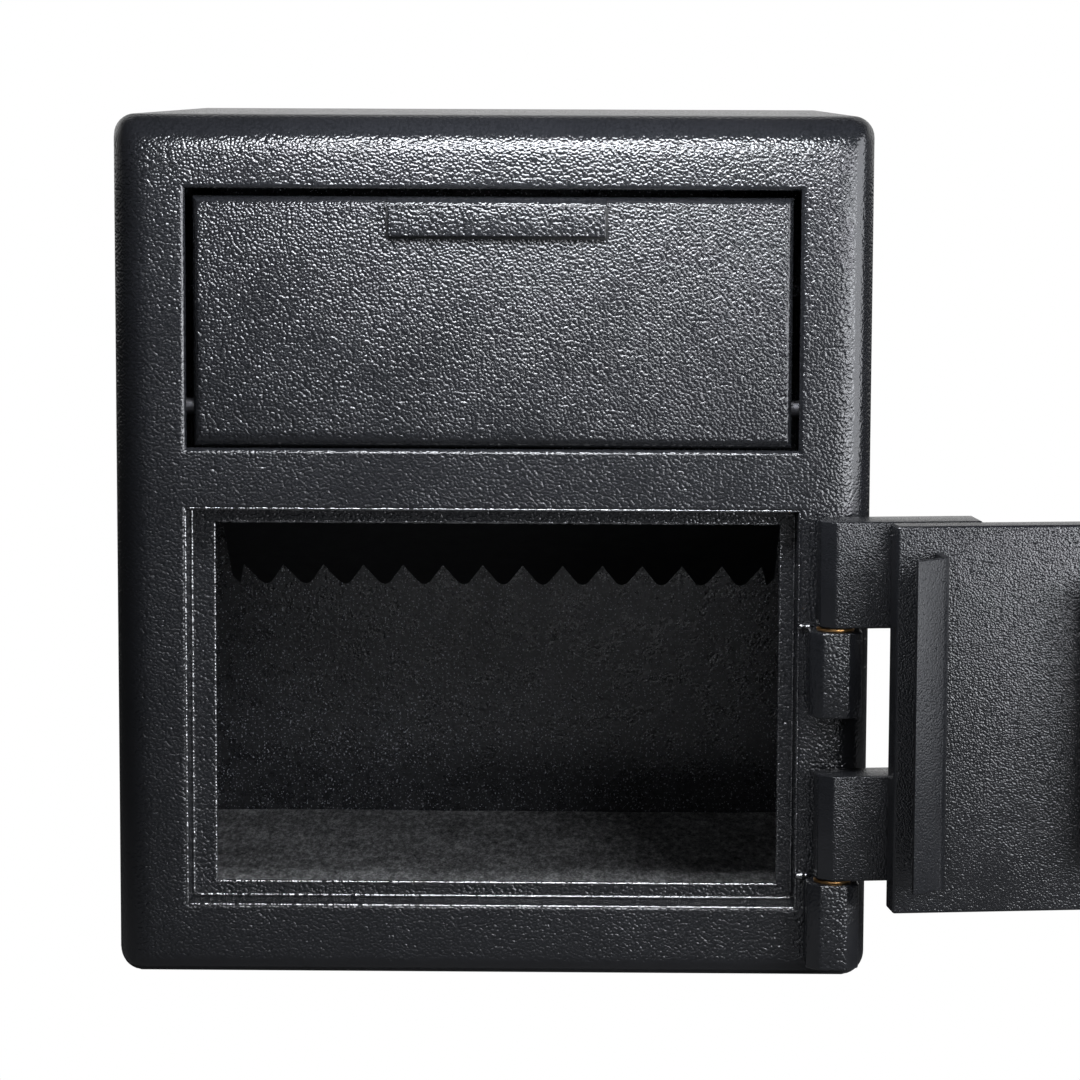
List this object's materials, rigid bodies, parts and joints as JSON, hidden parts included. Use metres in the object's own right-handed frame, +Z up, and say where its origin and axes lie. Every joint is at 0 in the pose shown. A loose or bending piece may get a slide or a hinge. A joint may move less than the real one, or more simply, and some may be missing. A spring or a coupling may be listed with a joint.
{
  "type": "drop safe",
  "caption": "Upright steel drop safe: a tilt-out deposit hopper above a recessed door on outside strap hinges, with a saw-tooth chute, boltwork and a combination lock.",
  "frame": {"origin": "centre of the body's underside, on the floor it stands on", "axes": "+X to the right seen from the front, +Y towards the back, +Z up"},
  "size_m": [0.64, 0.4241, 0.4064],
  "materials": {
    "coat": "charcoal pebble-textured powder coat, semi-gloss",
    "interior_coat": "thin dark powder coat, speckled",
    "felt": "short-pile grey felt",
    "steel": "turned bright steel",
    "zinc_plate": "zinc-plated steel, satin",
    "brass": "turned brass, slightly dull",
    "chrome": "polished chrome",
    "nylon": "natural nylon",
    "dial_black": "black, satin"
  },
  "bodies": {
    "safe_body": {"body_shell": "coat", "back_plate": "coat", "door_jamb": "coat", "floor_plate": "interior_coat", "floor_mat": "felt", "saw_tooth_chute": "interior_coat", "rear_guard": "interior_coat", "hopper_side_plate_left": "interior_coat", "hopper_side_plate_right": "interior_coat", "hopper_pin_left": "steel", "hopper_pin_right": "steel", "hinge_knuckle_upper": "coat", "hinge_knuckle_lower": "coat", "hinge_pin_upper": "steel", "hinge_pin_lower": "steel", "hinge_washer_upper": "brass", "hinge_washer_lower": "brass"},
    "hopper": {"hopper_panel": "coat", "hopper_pull_lip": "coat", "hopper_tray": "interior_coat", "hopper_cheek_left": "interior_coat", "hopper_cheek_right": "interior_coat", "hopper_bush_left": "nylon", "hopper_bush_right": "nylon"},
    "door": {"door_plate": "coat", "hinge_strap_upper": "coat", "hinge_strap_lower": "coat", "dead_bar": "coat", "bolt_guide": "zinc_plate", "carriage_post_1": "steel", "carriage_post_2": "steel", "handle_rose": "chrome", "lock_case": "zinc_plate", "lock_cover": "zinc_plate", "lock_screw_1": "steel", "lock_screw_2": "steel", "wheel_post": "brass", "dial_ring": "dial_black", "boltwork_cover": "coat", "cover_post_1": "steel", "cover_post_2": "steel", "cover_screw_1": "steel", "cover_screw_2": "steel"},
    "boltwork": {"bolt_carriage": "zinc_plate", "locking_bolt_1": "steel", "locking_bolt_2": "steel", "locking_bolt_3": "steel"},
    "bolt_handle": {"handle_grip": "chrome", "handle_shaft": "steel", "handle_crank": "zinc_plate"},
    "dial": {"dial_knob": "dial_black", "dial_spindle": "steel", "drive_cam": "brass"},
    "lock_bolt": {"lock_bolt": "brass", "lock_lever": "steel"},
    "wheel_1": {"lock_wheel_1": "brass"},
    "wheel_2": {"lock_wheel_2": "brass"},
    "wheel_3": {"lock_wheel_3": "brass"}
  },
  "joints": [
    {"name": "door_hinge", "type": "hinge", "parent": "safe_body", "child": "door", "pos_m": [0.1605, -0.1903, 0.12985], "axis": [0, 0, 1], "range_deg": [-187, 0]},
    {"name": "hopper_tilt", "type": "hinge", "parent": "safe_body", "child": "hopper", "pos_m": [0, -0.1628, 0.2695], "axis": [1, 0, 0], "range_deg": [0, 50]},
    {"name": "handle_turn", "type": "hinge", "parent": "door", "child": "bolt_handle", "pos_m": [0.39374, -0.18211, 0.12985], "axis": [-0.1219, 0.9925, 0], "range_deg": [0, 60]},
    {"name": "bolt_slide", "type": "slide", "parent": "door", "child": "boltwork", "axis": [0.9925, 0.1219, 0], "range_m": [0, 0.018]},
    {"name": "lock_bolt_slide", "type": "slide", "parent": "door", "child": "lock_bolt", "axis": [0, 0, 1], "range_m": [0, 0.01]},
    {"name": "dial_turn", "type": "hinge", "parent": "door", "child": "dial", "pos_m": [0.30838, -0.19259, 0.11285], "axis": [-0.1219, 0.9925, 0], "continuous": true},
    {"name": "wheel_1_turn", "type": "hinge", "parent": "door", "child": "wheel_1", "pos_m": [0.30838, -0.19259, 0.11285], "axis": [-0.1219, 0.9925, 0], "continuous": true},
    {"name": "wheel_2_turn", "type": "hinge", "parent": "door", "child": "wheel_2", "pos_m": [0.30838, -0.19259, 0.11285], "axis": [-0.1219, 0.9925, 0], "continuous": true},
    {"name": "wheel_3_turn", "type": "hinge", "parent": "door", "child": "wheel_3", "pos_m": [0.30838, -0.19259, 0.11285], "axis": [-0.1219, 0.9925, 0], "continuous": true}
  ],
  "couplings": [
    {"joint": "bolt_slide", "follows": "handle_turn", "m_per_rad": 0.017189}
  ]
}
